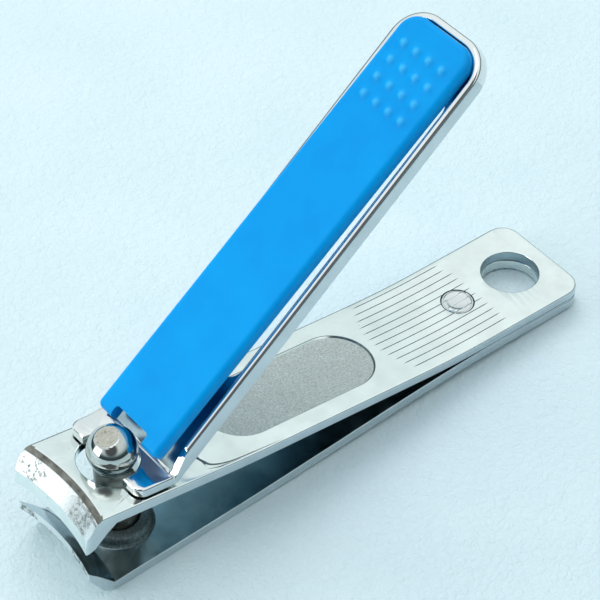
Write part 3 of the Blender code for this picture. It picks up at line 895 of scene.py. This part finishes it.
def lever_pan():
    """The lever's sheet, bent at the heel, with the pan's floor cut down inside its rim."""
    end = LEVER_END_S
    foot_low, foot_high = foot_point(FOOT_FRONT_X, 0), foot_point(FOOT_FRONT_X, LEVER_SHEET)
    heel_low, heel_high = lever_heel(0), lever_heel(LEVER_SHEET)
    end_low, end_high = handle_point(end, -RIM_HEIGHT), handle_point(end, 0)
    rim_start = handle_point(0.2 * MM, 0)
    side = [foot_low] + rounded_corner(foot_low, heel_low, end_low, 1.0 * MM) + [end_low, end_high]
    side += [rim_start, heel_high, foot_high]
    lever = prism("lever_pan", side, -LEVER_HALF - MM, LEVER_HALF + MM, SIDE)
    plan = rounded_bar(-9 * MM, end, LEVER_HALF, 0.5 * MM, LEVER_CORNER, 24)
    combine(lever, prism("lever_plan", plan, -FAR, FAR, handle_frame()), "INTERSECT")
    inner = LEVER_HALF - RIM_WIDTH
    well = rounded_bar(-9 * MM, end - RIM_WIDTH, inner, 0.5 * MM, LEVER_CORNER - RIM_WIDTH, 24)
    floor = LEVER_SHEET - RIM_HEIGHT
    deep = prism("lever_well", well, floor - MM, 5 * MM, handle_frame())
    over = [foot_point(FOOT_FRONT_X - MM, LEVER_SHEET)]
    over += rounded_corner(over[0], heel_high, handle_point(end, floor), 0.5 * MM, 6)
    over += [handle_point(end + MM, floor), handle_point(end + MM, 9 * MM),
             (over[0][0], over[0][1] + 9 * MM)]
    combine(deep, prism("well_side", over, -FAR, FAR, SIDE), "INTERSECT")
    combine(lever, deep, "DIFFERENCE")
    return lever


def cut_lever(lever):
    """Cut the slot, the fork round the pin, the foot's corners and the stake's hole."""
    slot = rounded_bar(*SLOT_S, SLOT_HALF, SLOT_CORNER, SLOT_CORNER, 12)
    combine(lever, prism("lever_slot", slot, -FAR, FAR, handle_frame()), "DIFFERENCE")
    tilt = Matrix.Rotation(-math.atan(UPPER_SLOPE), 4, "Y")
    at = Matrix.Translation(FORK_CENTRE) @ tilt
    fork = rounded_bar(-9 * MM, FORK_RADIUS, FORK_RADIUS, 0.5 * MM, FORK_CORNER, 24)
    combine(lever, prism("lever_fork", fork, -3 * MM, 3 * MM, at), "DIFFERENCE")
    foot = rounded_bar(FOOT_FRONT_X, 60 * MM, LEVER_HALF + 0.01 * MM, 1.1 * MM, MM, 10)
    combine(lever, prism("foot_plan", foot, -FAR, 3 * FAR), "INTERSECT")
    hole = arc(0, 0, 0.85 * MM, 360, 0, 32)[:-1]
    combine(lever, prism("stake_hole", hole, -FAR, FAR, handle_frame(STAKE_S)), "DIFFERENCE")
    tidy(lever)


def make_lever(mats):
    """The lever, painted with its chrome, its duller pan darkened as painted shade, and its sides
    darkened as painted shade.
    """
    lever = lever_pan()
    cut_lever(lever)
    end = LEVER_END_S
    inner = LEVER_HALF - RIM_WIDTH
    floor = LEVER_SHEET - RIM_HEIGHT
    to_handle = handle_frame().inverted()

    def rule(middle, normals):
        p = to_handle @ middle
        if p.x < 0.4 * MM:
            return 1.2 if max(n.z for n in normals) > 0.6 else 0.0
        if abs(p.z) < 0.01 * MM:
            outer = abs(p.y) > LEVER_HALF - 0.3 * MM or p.x > end - 0.3 * MM
            corner = LEVER_CORNER - 0.3 * MM
            from_corner = math.hypot(p.x - (end - LEVER_CORNER),
                                     abs(p.y) - (LEVER_HALF - LEVER_CORNER))
            if p.x > end - LEVER_CORNER and abs(p.y) > LEVER_HALF - LEVER_CORNER:
                outer = from_corner > corner
            return 1.5 if outer else 0.5
        if p.z < 0.01 * MM - RIM_HEIGHT:
            inside = abs(p.y) < 4.3 * MM and p.x < 43.0 * MM
            return 0.3 if inside else 1.0
        return 0.35
    bevel(lever, 0.26 * MM, rule)

    def paint_rule(centre, normal):
        p = to_handle @ centre
        in_pan = abs(p.y) < inner - 0.1 * MM and -1.0 * MM < p.x < end - RIM_WIDTH
        # Painted shade on the pan's floor under the cover.
        if in_pan and floor - 0.1 * MM < p.z < floor + 0.4 * MM:
            return 1
        # Painted shade: the lever's side walls get the darker copy of the chrome.
        return 2 if abs(normal.y) > 0.8 and abs(p.y) > LEVER_HALF - 0.1 * MM else 0
    paint(lever, mats, paint_rule)
    even_normals(lever)
    return lever


def bump_height(s, y):
    """Height of the finger bumps over the cover at a point."""
    height = 0.0
    for row in range(BUMP_COUNT):
        for column in range(BUMP_COUNT):
            ds = s - (BUMP_START_S + BUMP_STEP_S * row) * MM
            dy = y - BUMP_STEP_Y * (column - 1.5) * MM
            height += BUMP_HEIGHT * math.exp(-(ds * ds + dy * dy) / (2 * BUMP_SPREAD**2))
    return height


def make_cover(mats):
    """The blue cover: rounded pad with its bumps, and the seat and stake that hold it."""
    front, end = COVER_FRONT_S, COVER_END_S
    top0, top1 = COVER_TOP
    side = [(front, top0 - COVER_THICK), (end, top1 - COVER_THICK), (end, top1), (front, top0)]
    cover = prism("thumb_cover", side, -COVER_HALF - MM, COVER_HALF + MM, SIDE)
    plan = rounded_bar(front, end, COVER_HALF, 0.65 * MM, 2.0 * MM, 20)
    combine(cover, prism("cover_plan", plan, -FAR, FAR), "INTERSECT")

    def rule(middle, normals):
        return 1.0 if max(n.z for n in normals) > 0.9 else 0.3
    bevel(cover, 0.6 * MM, rule, 7)
    notch = rounded_bar(front - 3 * MM, front + 1.3 * MM, 2.35 * MM, 0.3 * MM, 0.35 * MM, 6)
    combine(cover, prism("cover_notch", notch, -FAR, FAR), "DIFFERENCE")
    tidy(cover, 0.2)
    step = 0.14
    planes = [((0, y * step * MM, 0), (0, 1, 0)) for y in range(-25, 26)]
    planes += [(((34.0 + step * i) * MM, 0, 0), (1, 0, 0)) for i in range(62)]
    slice_mesh(cover, planes)
    for vert in cover.data.vertices:
        s, y, n = vert.co
        top = top0 + (top1 - top0) * (s - front) / (end - front)
        if abs(n - top) < 0.005 * MM:
            vert.co.z += bump_height(s, y)
    under = 0.5 * (top0 + top1) - COVER_THICK
    seat = rounded_bar(*SEAT_S, SEAT_HALF, 0.6 * MM, 0.6 * MM, 6)
    floor = LEVER_SHEET - RIM_HEIGHT
    combine(cover, prism("cover_seat", seat, floor, under - 0.6 * MM), "UNION")
    stake = [(0, floor + 0.3 * MM), (STAKE_RADIUS, floor + 0.3 * MM), (STAKE_RADIUS, -1.9 * MM),
             (1.16 * MM, -1.9 * MM), (1.2 * MM, -2.0 * MM), (1.05 * MM, -2.2 * MM),
             (0.6 * MM, -2.25 * MM), (0, -2.25 * MM)]
    combine(cover, turned("cover_stake", stake, 40, Matrix.Translation((STAKE_S, 0, 0))),
            "UNION")
    paint(cover, mats, lambda centre, normal: 0)
    even_normals(cover, 40.0)
    cover.matrix_world = handle_frame()
    return cover


# ---- stage ----

def make_floor():
    bm = bmesh.new()
    size = 5.0
    gap = 0.02 * MM
    rows = 40
    grid = []
    for i in range(rows + 1):
        line = []
        for j in range(rows + 1):
            x = size * (i / rows - 0.5)
            y = size * (j / rows - 0.5)
            line.append(bm.verts.new((x, y, 0.0)))
        grid.append(line)
    for i in range(rows):
        for j in range(rows):
            bm.faces.new((grid[i][j], grid[i + 1][j], grid[i + 1][j + 1], grid[i][j + 1]))
    floor = add_object("floor", bm)
    floor.data.materials.append(floor_material())
    floor.location = (0, 0, -gap)


def make_world():
    """A pale room: bright overhead, dimmer towards the floor, and dark round the viewer."""
    world = bpy.data.worlds.new("studio")
    bpy.context.scene.world = world
    world.use_nodes = True
    tree = world.node_tree
    background = tree.nodes["Background"]
    coords = tree.nodes.new("ShaderNodeTexCoord")
    split = tree.nodes.new("ShaderNodeSeparateXYZ")
    link(tree, coords.outputs["Generated"], split.inputs[0])
    sky = ramp(tree, split.outputs["Z"], [(0.0, (0.02, 0.035, 0.04)), (0.24, (0.07, 0.11, 0.12)),
                                          (0.44, (0.66, 0.78, 0.81)), (0.64, (0.92, 0.99, 1.0))])
    dot = tree.nodes.new("ShaderNodeVectorMath")
    dot.operation = "DOT_PRODUCT"
    dot.inputs[1].default_value = DARK_DIRECTION
    link(tree, coords.outputs["Generated"], dot.inputs[0])
    dark = to_range(tree, dot.outputs["Value"], 0.84, 0.93, 0.0, 0.92)
    link(tree, mix(tree, dark, sky, (0.05, 0.045, 0.05)), background.inputs["Color"])
    background.inputs["Strength"].default_value = 1.0


def area_light(name, position, target, width, height, power, color):
    data = bpy.data.lights.new(name, "AREA")
    data.shape = "RECTANGLE"
    data.size = width
    data.size_y = height
    data.energy = power
    data.color = color
    lamp = bpy.data.objects.new(name, data)
    bpy.context.scene.collection.objects.link(lamp)
    lamp.location = position
    aim = Vector(target) - Vector(position)
    lamp.rotation_euler = aim.to_track_quat("-Z", "Y").to_euler()
    return lamp


def make_camera():
    """The camera's azimuth, elevation and roll, in degrees, and its place, in metres."""
    azimuth, elevation, roll = (math.radians(a) for a in (-38.637, 45.722, -0.627))
    back = Vector((math.sin(azimuth) * math.cos(elevation),
                   -math.cos(azimuth) * math.cos(elevation), math.sin(elevation)))
    right = Vector((math.cos(azimuth), math.sin(azimuth), 0))
    up = back.cross(right)
    across = right * math.cos(roll) + up * math.sin(roll)
    upward = up * math.cos(roll) - right * math.sin(roll)
    data = bpy.data.cameras.new("camera")
    data.sensor_width = 36.0
    data.lens = 149.86
    data.clip_start = 0.01
    data.clip_end = 5.0
    camera = bpy.data.objects.new("camera", data)
    bpy.context.scene.collection.objects.link(camera)
    turn = Matrix((across, upward, back)).transposed().to_4x4()
    camera.matrix_world = Matrix.Translation((-0.103583, -0.127815, 0.184305)) @ turn
    bpy.context.scene.camera = camera


def main():
    bpy.context.scene.view_settings.view_transform = "Standard"
    make_camera()
    make_world()
    make_floor()
    area_light("left_window", (-0.34, 0.10, 0.12), (-0.02, 0, 0.01), 0.22, 0.20, 0.45, (1, 1, 1))
    back = area_light("back_softbox", (0.20, 0.30, 0.36), (0, 0, 0), 0.40, 0.30, 0.72, (1, 1, 1))
    back.visible_glossy = False
    area_light("top_softbox", (-0.05, 0.0, 0.55), (0, 0, 0), 0.35, 0.35, 0.28, (1, 1, 1))
    jaw_chrome = chrome("jaw_chrome", (0.86, 0.93, 0.91), 0.10)
    lever_chrome = chrome("lever_chrome", (0.88, 0.90, 0.90), 0.05, 0.05, 0.3)
    pin_chrome = chrome("pin_chrome", (0.58, 0.61, 0.59), 0.06)
    rivet_chrome = chrome("rivet_steel", (0.80, 0.83, 0.83), 0.14)
    # inner holds the painted shade for faces between parts and in the lever's pan.
    inner = shade_inner_steel()
    # shade_band_mat holds the painted shade for the blade's bend and the pin's neck.
    shade_band_mat = shade_band_steel()
    # A darker copy of the chrome, painted shade for the side walls.
    shaded_side_chrome = chrome("shaded_side_chrome", (0.62, 0.69, 0.72), 0.14)
    leaf_mats = [jaw_chrome, recess_steel(), ground_steel(), shade_groove_steel(), inner, shade_band_mat,
                 shaded_side_chrome]
    upper = make_upper_leaf(leaf_mats)
    lower = make_lower_leaf(leaf_mats)
    rivet = make_rivet([rivet_chrome])
    pin = make_pin([pin_chrome, pin_top_steel(), shade_band_mat])
    lever = make_lever([lever_chrome, inner, shaded_side_chrome])
    cover = make_cover([blue_plastic()])
    for piece, body, node, slot in ((upper, "upper", "upper_jaw", "jaw_chrome"),
                                    (lower, "lower", "lower_jaw", "jaw_chrome"),
                                    (rivet, "lower", "tail_rivet", "rivet_steel"),
                                    (pin, "pin", "pin", "pin_chrome"),
                                    (lever, "lever", "lever", "lever_chrome"),
                                    (cover, "lever", "lever_cover", "blue_plastic")):
        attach(piece, body)
        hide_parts(node)


main()
